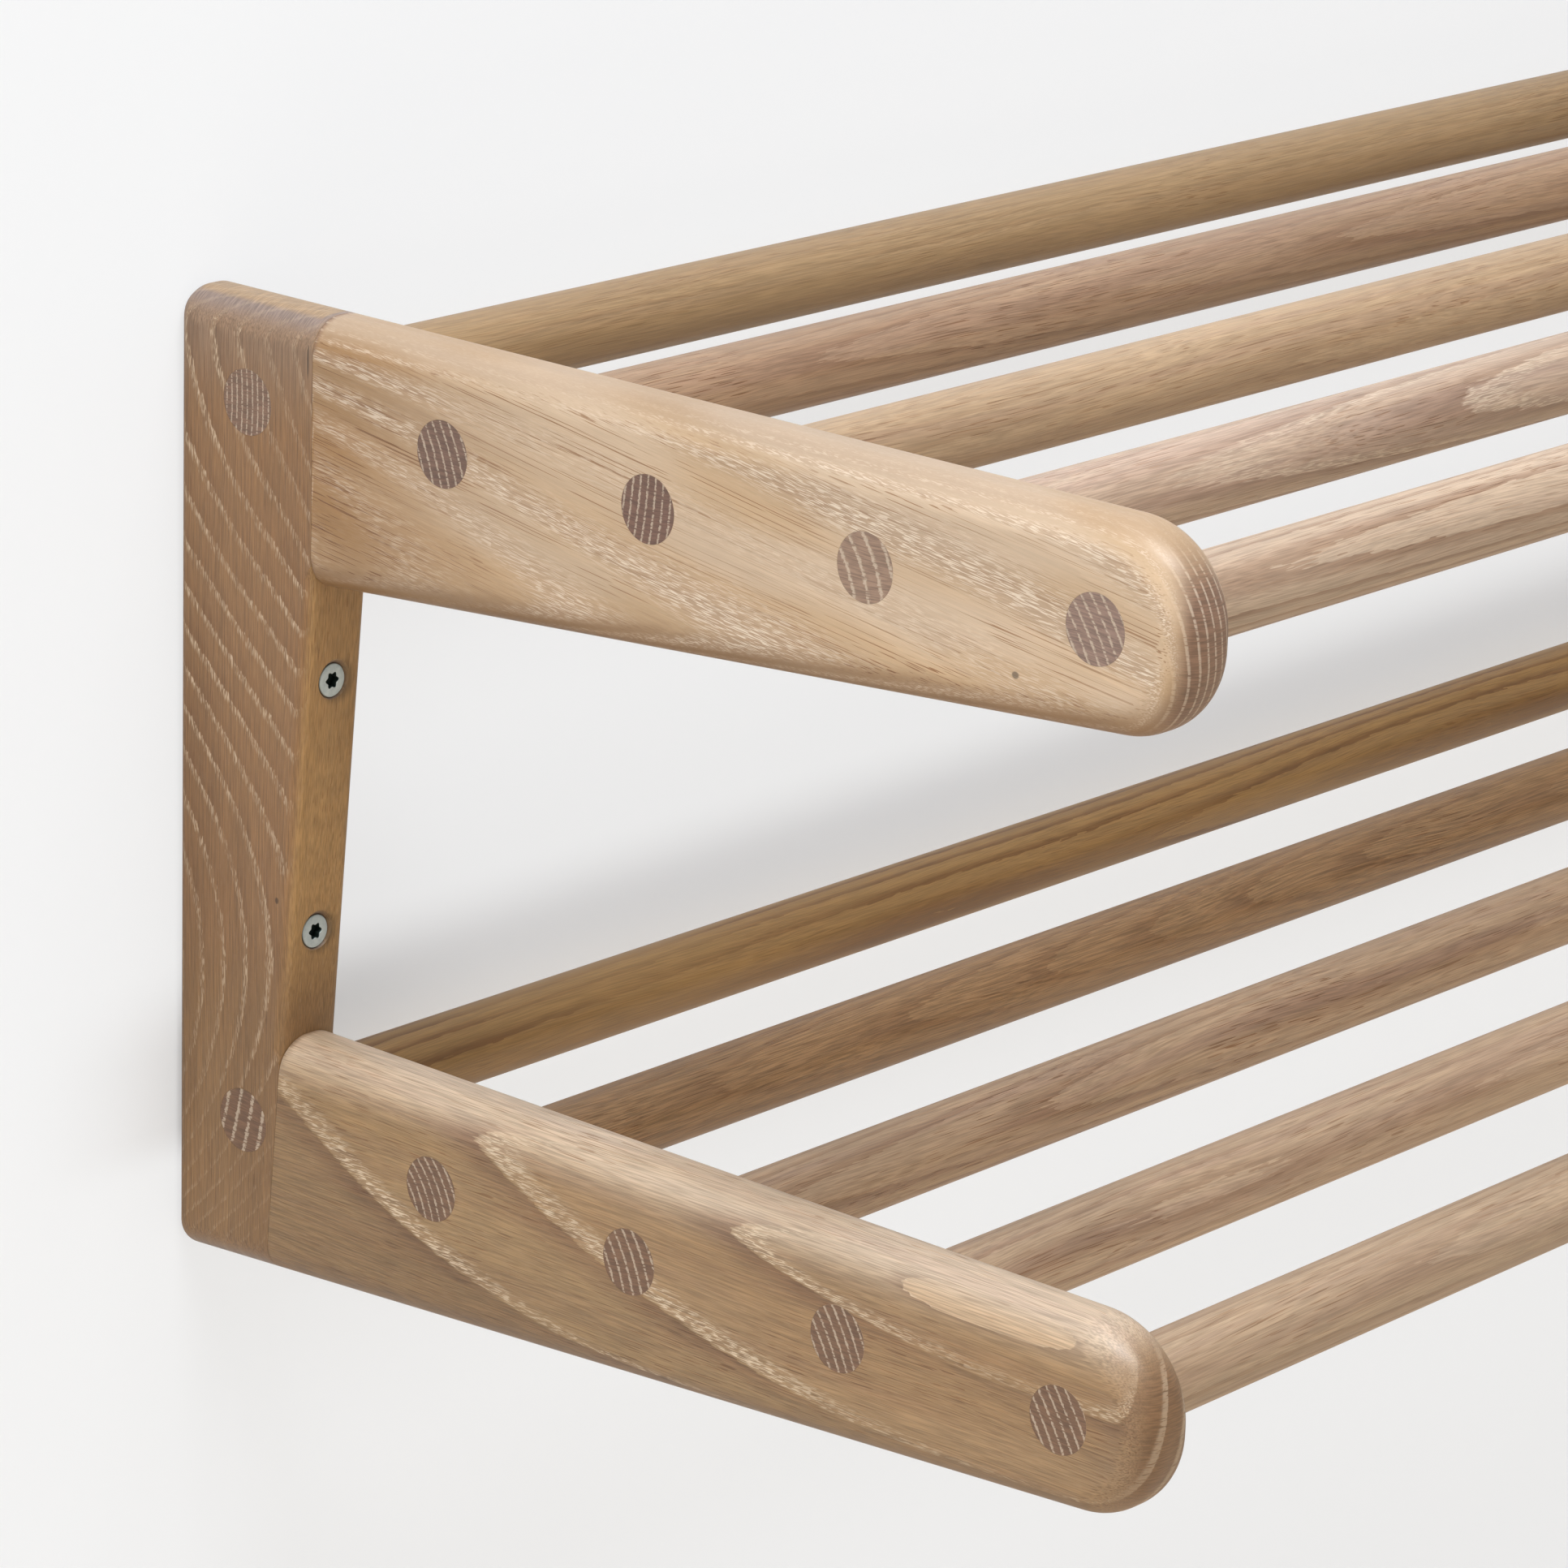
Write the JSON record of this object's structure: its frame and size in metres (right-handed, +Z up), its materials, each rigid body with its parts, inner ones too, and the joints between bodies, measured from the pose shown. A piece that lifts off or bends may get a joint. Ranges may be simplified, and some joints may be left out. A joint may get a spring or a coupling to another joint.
{
  "type": "shoe shelf",
  "caption": "Wall-hung oak shoe shelf: two tiers of round rods, tenoned through C-shaped end frames with round-nosed arms, held to the wall by countersunk screws.",
  "frame": {"origin": "on the wall plane, midway between the end frames, level with the upper wall screws", "axes": "+X along the rods to the right, +Y into the wall, +Z up; the shoes go in from -Y"},
  "size_m": [0.8, 0.3892, 0.2734],
  "materials": {
    "upright_oak": "matt oiled oak, near-vertical grain with pale pores",
    "upper_arm_oak": "matt oiled oak, pale, slanting grain with fine brown pores",
    "lower_arm_oak": "matt oiled oak, cathedral figure with pale flecks",
    "rod_oak": "matt oiled oak, straight grain, dark end grain on the tenons",
    "screw_zinc": "zinc plated, satin",
    "dowel_beech": "bare beech"
  },
  "bodies": {
    "root": {"left_upright": "upright_oak", "left_upper_arm": "upper_arm_oak", "left_lower_arm": "lower_arm_oak", "right_upright": "upright_oak", "right_upper_arm": "upper_arm_oak", "right_lower_arm": "lower_arm_oak", "upper_rod_1": "rod_oak", "upper_rod_2": "rod_oak", "upper_rod_3": "rod_oak", "upper_rod_4": "rod_oak", "upper_rod_5": "rod_oak", "lower_rod_1": "rod_oak", "lower_rod_2": "rod_oak", "lower_rod_3": "rod_oak", "lower_rod_4": "rod_oak", "lower_rod_5": "rod_oak", "left_upper_wall_screw": "screw_zinc", "left_lower_wall_screw": "screw_zinc", "right_upper_wall_screw": "screw_zinc", "right_lower_wall_screw": "screw_zinc", "left_upper_joint_dowel_1": "dowel_beech", "left_upper_joint_dowel_2": "dowel_beech", "left_lower_joint_dowel_1": "dowel_beech", "left_lower_joint_dowel_2": "dowel_beech", "right_upper_joint_dowel_1": "dowel_beech", "right_upper_joint_dowel_2": "dowel_beech", "right_lower_joint_dowel_1": "dowel_beech", "right_lower_joint_dowel_2": "dowel_beech"}
  },
  "joints": []
}
